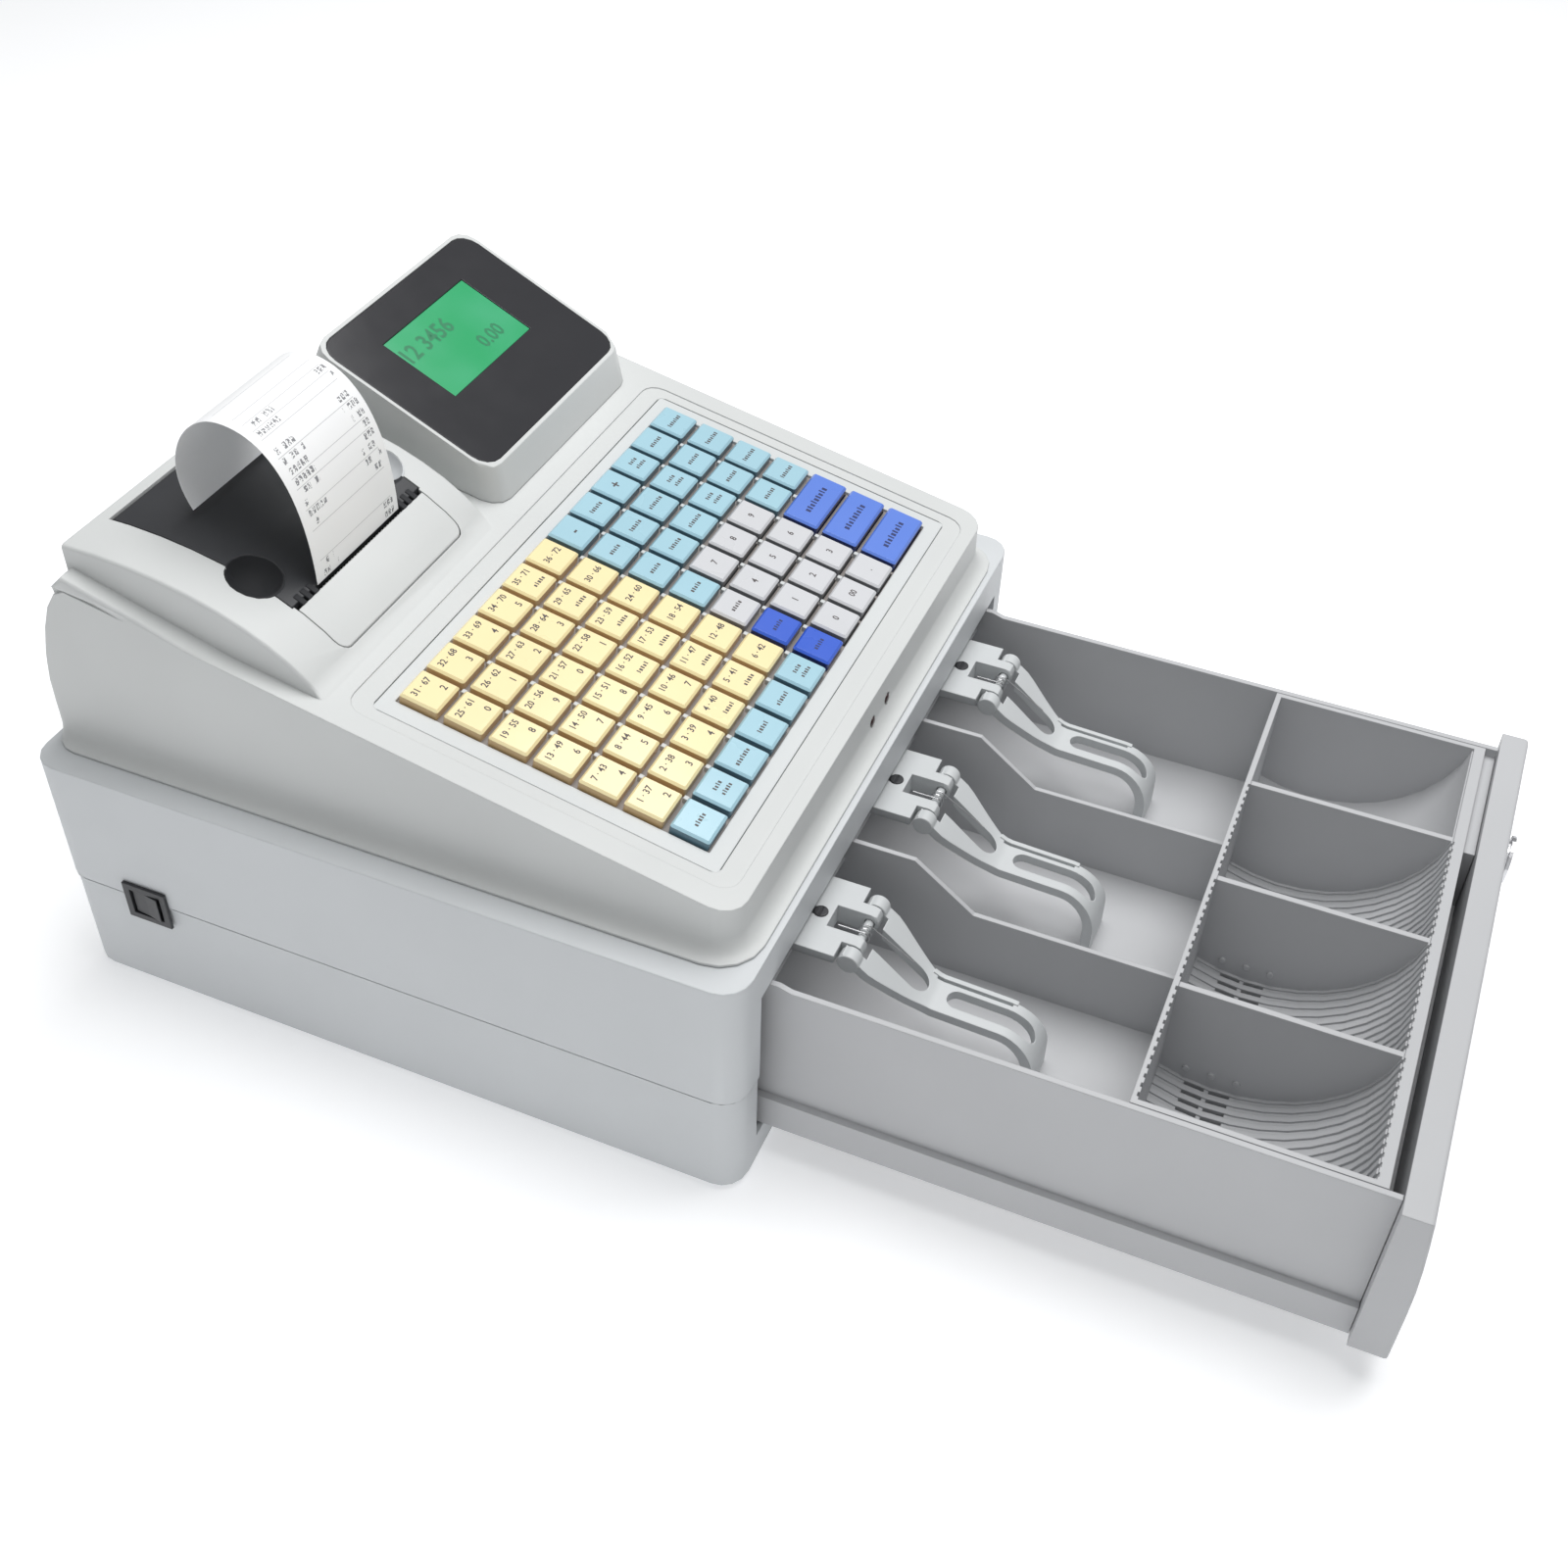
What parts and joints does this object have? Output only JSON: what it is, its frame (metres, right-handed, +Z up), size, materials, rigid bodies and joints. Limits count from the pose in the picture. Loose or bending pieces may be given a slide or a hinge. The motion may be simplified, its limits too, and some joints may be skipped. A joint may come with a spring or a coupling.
{
  "type": "ticket register",
  "caption": "Countertop cash register with sloping keyboard, arched receipt printer, tilted display and an open cash drawer with bill clips and coin cups.",
  "frame": {"origin": "on the ground under the middle of the machine's bounding box with the drawer open", "axes": "+X to the operator's right, +Y from the operator towards the machine's back, +Z up"},
  "size_m": [0.318, 0.5656, 0.2592],
  "materials": {
    "case_plastic": "fine moulded grain",
    "housing_plastic": "fine moulded grain",
    "drawer_plastic": "fine moulded grain",
    "clip_plastic": "smooth moulded",
    "black_plastic": "satin",
    "window_black": "polished",
    "lcd_glass": "polished",
    "lamp_clear": "polished",
    "rubber_black": "matte",
    "key_mat_grey": "soft matte",
    "key_grey": "satin",
    "key_blue": "satin",
    "spring_steel": "drawn wire",
    "plated_steel": "zinc plated",
    "lock_chrome": "polished",
    "gear_plastic": "satin",
    "white_paper": "thermal coated",
    "circuit_board": "solder resist",
    "aluminium_case": "mill",
    "ceramic_head": "glazed line"
  },
  "bodies": {
    "cabinet": {"base_pan": "housing_plastic", "cabinet_cover": "housing_plastic", "display_housing": "case_plastic", "display_window": "window_black", "ejector_spring": "spring_steel", "feed_motor": "plated_steel", "key_board": "circuit_board", "key_mat": "key_mat_grey", "latch_solenoid": "plated_steel", "lcd_panel": "lcd_glass", "main_board": "circuit_board", "power_inlet": "black_plastic", "power_supply": "aluminium_case", "print_head": "ceramic_head", "printer_chassis": "black_plastic", "printer_cover": "case_plastic", "rubber_foot_1": "rubber_black", "rubber_foot_2": "rubber_black", "rubber_foot_3": "rubber_black", "rubber_foot_4": "rubber_black", "status_light_guide": "lamp_clear", "switch_housing": "black_plastic", "tear_bar": "plated_steel", "upper_case": "case_plastic"},
    "drawer": {"drawer_tray": "drawer_plastic", "drawer_front": "drawer_plastic", "coin_tray": "drawer_plastic", "clip_bracket_1": "clip_plastic", "clip_bracket_2": "clip_plastic", "clip_bracket_3": "clip_plastic"},
    "clip_arm_1": {"bill_clip_1": "clip_plastic", "clip_spring_1": "spring_steel"},
    "clip_arm_2": {"bill_clip_2": "clip_plastic", "clip_spring_2": "spring_steel"},
    "clip_arm_3": {"bill_clip_3": "clip_plastic", "clip_spring_3": "spring_steel"},
    "lock_core": {"lock_barrel": "lock_chrome"},
    "printer_lid": {"paper_door": "black_plastic", "receipt_strip": "white_paper"},
    "platen": {"platen_roller": "rubber_black", "platen_gear": "gear_plastic"},
    "roll": {"paper_roll": "white_paper"},
    "pinion": {"motor_gear": "gear_plastic"},
    "rocker": {"power_rocker": "black_plastic"},
    "latch": {"latch_lever": "plated_steel"},
    "button_01": {"key_01": "key_grey"},
    "button_02": {"key_02": "key_grey"},
    "button_03": {"key_03": "key_grey"},
    "button_04": {"key_04": "key_blue"},
    "button_05": {"key_05": "key_grey"},
    "button_06": {"key_06": "key_grey"},
    "button_07": {"key_07": "key_grey"},
    "button_08": {"key_08": "key_blue"},
    "button_09": {"key_09": "key_grey"},
    "button_10": {"key_10": "key_grey"},
    "button_11": {"key_11": "key_grey"},
    "button_12": {"key_12": "key_blue"},
    "button_13": {"key_13": "key_grey"},
    "button_14": {"key_14": "key_grey"},
    "button_15": {"key_15": "key_grey"}
  },
  "joints": [
    {"name": "drawer_slide", "type": "slide", "parent": "cabinet", "child": "drawer", "axis": [0, -1, 0], "range_m": [-0.2455, 0]},
    {"name": "bill_clip_hinge_1", "type": "hinge", "parent": "drawer", "child": "clip_arm_1", "pos_m": [-0.0846, -0.05325, 0.093], "axis": [-1, 0, 0], "range_deg": [0, 80], "stiffness_Nm_per_rad": 0.02, "springref_deg": -34.38},
    {"name": "bill_clip_hinge_2", "type": "hinge", "parent": "drawer", "child": "clip_arm_2", "pos_m": [0, -0.05325, 0.093], "axis": [-1, 0, 0], "range_deg": [0, 80], "stiffness_Nm_per_rad": 0.02, "springref_deg": -34.38},
    {"name": "bill_clip_hinge_3", "type": "hinge", "parent": "drawer", "child": "clip_arm_3", "pos_m": [0.0846, -0.05325, 0.093], "axis": [-1, 0, 0], "range_deg": [0, 80], "stiffness_Nm_per_rad": 0.02, "springref_deg": -34.38},
    {"name": "lock_turn", "type": "hinge", "parent": "drawer", "child": "lock_core", "pos_m": [0.092, -0.28215, 0.069], "axis": [0, -1, 0], "range_deg": [0, 90]},
    {"name": "paper_door_hinge", "type": "hinge", "parent": "cabinet", "child": "printer_lid", "pos_m": [-0.0653, 0.25045, 0.21233], "axis": [-1, 0, 0], "range_deg": [0, 75]},
    {"name": "paper_roll_spin", "type": "hinge", "parent": "cabinet", "child": "roll", "pos_m": [-0.0653, 0.21725, 0.175], "axis": [1, 0, 0], "continuous": true},
    {"name": "platen_spin", "type": "hinge", "parent": "printer_lid", "child": "platen", "pos_m": [-0.0653, 0.17925, 0.187], "axis": [1, 0, 0], "continuous": true},
    {"name": "motor_spin", "type": "hinge", "parent": "cabinet", "child": "pinion", "pos_m": [-0.0653, 0.18223, 0.17904], "axis": [1, 0, 0], "continuous": true},
    {"name": "power_rocker_tilt", "type": "hinge", "parent": "cabinet", "child": "rocker", "pos_m": [-0.1569, 0.23805, 0.0543], "axis": [0, 0, 1], "range_deg": [0, 18]},
    {"name": "latch_hinge", "type": "hinge", "parent": "cabinet", "child": "latch", "pos_m": [0, 0.26875, 0.022], "axis": [-1, 0, 0], "range_deg": [0, 16]},
    {"name": "press_key_01", "type": "slide", "parent": "cabinet", "child": "button_01", "axis": [0, 0.2045, -0.9789], "range_m": [0, 0.003], "stiffness_N_per_m": 200, "springref_m": -0.0008},
    {"name": "press_key_02", "type": "slide", "parent": "cabinet", "child": "button_02", "axis": [0, 0.2045, -0.9789], "range_m": [0, 0.003], "stiffness_N_per_m": 200, "springref_m": -0.0008},
    {"name": "press_key_03", "type": "slide", "parent": "cabinet", "child": "button_03", "axis": [0, 0.2045, -0.9789], "range_m": [0, 0.003], "stiffness_N_per_m": 200, "springref_m": -0.0008},
    {"name": "press_key_04", "type": "slide", "parent": "cabinet", "child": "button_04", "axis": [0, 0.2045, -0.9789], "range_m": [0, 0.003], "stiffness_N_per_m": 200, "springref_m": -0.0008},
    {"name": "press_key_05", "type": "slide", "parent": "cabinet", "child": "button_05", "axis": [0, 0.2045, -0.9789], "range_m": [0, 0.003], "stiffness_N_per_m": 200, "springref_m": -0.0008},
    {"name": "press_key_06", "type": "slide", "parent": "cabinet", "child": "button_06", "axis": [0, 0.2045, -0.9789], "range_m": [0, 0.003], "stiffness_N_per_m": 200, "springref_m": -0.0008},
    {"name": "press_key_07", "type": "slide", "parent": "cabinet", "child": "button_07", "axis": [0, 0.2045, -0.9789], "range_m": [0, 0.003], "stiffness_N_per_m": 200, "springref_m": -0.0008},
    {"name": "press_key_08", "type": "slide", "parent": "cabinet", "child": "button_08", "axis": [0, 0.2045, -0.9789], "range_m": [0, 0.003], "stiffness_N_per_m": 200, "springref_m": -0.0008},
    {"name": "press_key_09", "type": "slide", "parent": "cabinet", "child": "button_09", "axis": [0, 0.2045, -0.9789], "range_m": [0, 0.003], "stiffness_N_per_m": 200, "springref_m": -0.0008},
    {"name": "press_key_10", "type": "slide", "parent": "cabinet", "child": "button_10", "axis": [0, 0.2045, -0.9789], "range_m": [0, 0.003], "stiffness_N_per_m": 200, "springref_m": -0.0008},
    {"name": "press_key_11", "type": "slide", "parent": "cabinet", "child": "button_11", "axis": [0, 0.2045, -0.9789], "range_m": [0, 0.003], "stiffness_N_per_m": 200, "springref_m": -0.0008},
    {"name": "press_key_12", "type": "slide", "parent": "cabinet", "child": "button_12", "axis": [0, 0.2045, -0.9789], "range_m": [0, 0.003], "stiffness_N_per_m": 200, "springref_m": -0.0008},
    {"name": "press_key_13", "type": "slide", "parent": "cabinet", "child": "button_13", "axis": [0, 0.2045, -0.9789], "range_m": [0, 0.003], "stiffness_N_per_m": 200, "springref_m": -0.0008},
    {"name": "press_key_14", "type": "slide", "parent": "cabinet", "child": "button_14", "axis": [0, 0.2045, -0.9789], "range_m": [0, 0.003], "stiffness_N_per_m": 200, "springref_m": -0.0008},
    {"name": "press_key_15", "type": "slide", "parent": "cabinet", "child": "button_15", "axis": [0, 0.2045, -0.9789], "range_m": [0, 0.003], "stiffness_N_per_m": 200, "springref_m": -0.0008}
  ],
  "couplings": [
    {"joint": "platen_spin", "follows": "paper_roll_spin", "ratio": 5.7778},
    {"joint": "motor_spin", "follows": "paper_roll_spin", "ratio": -6.5}
  ]
}
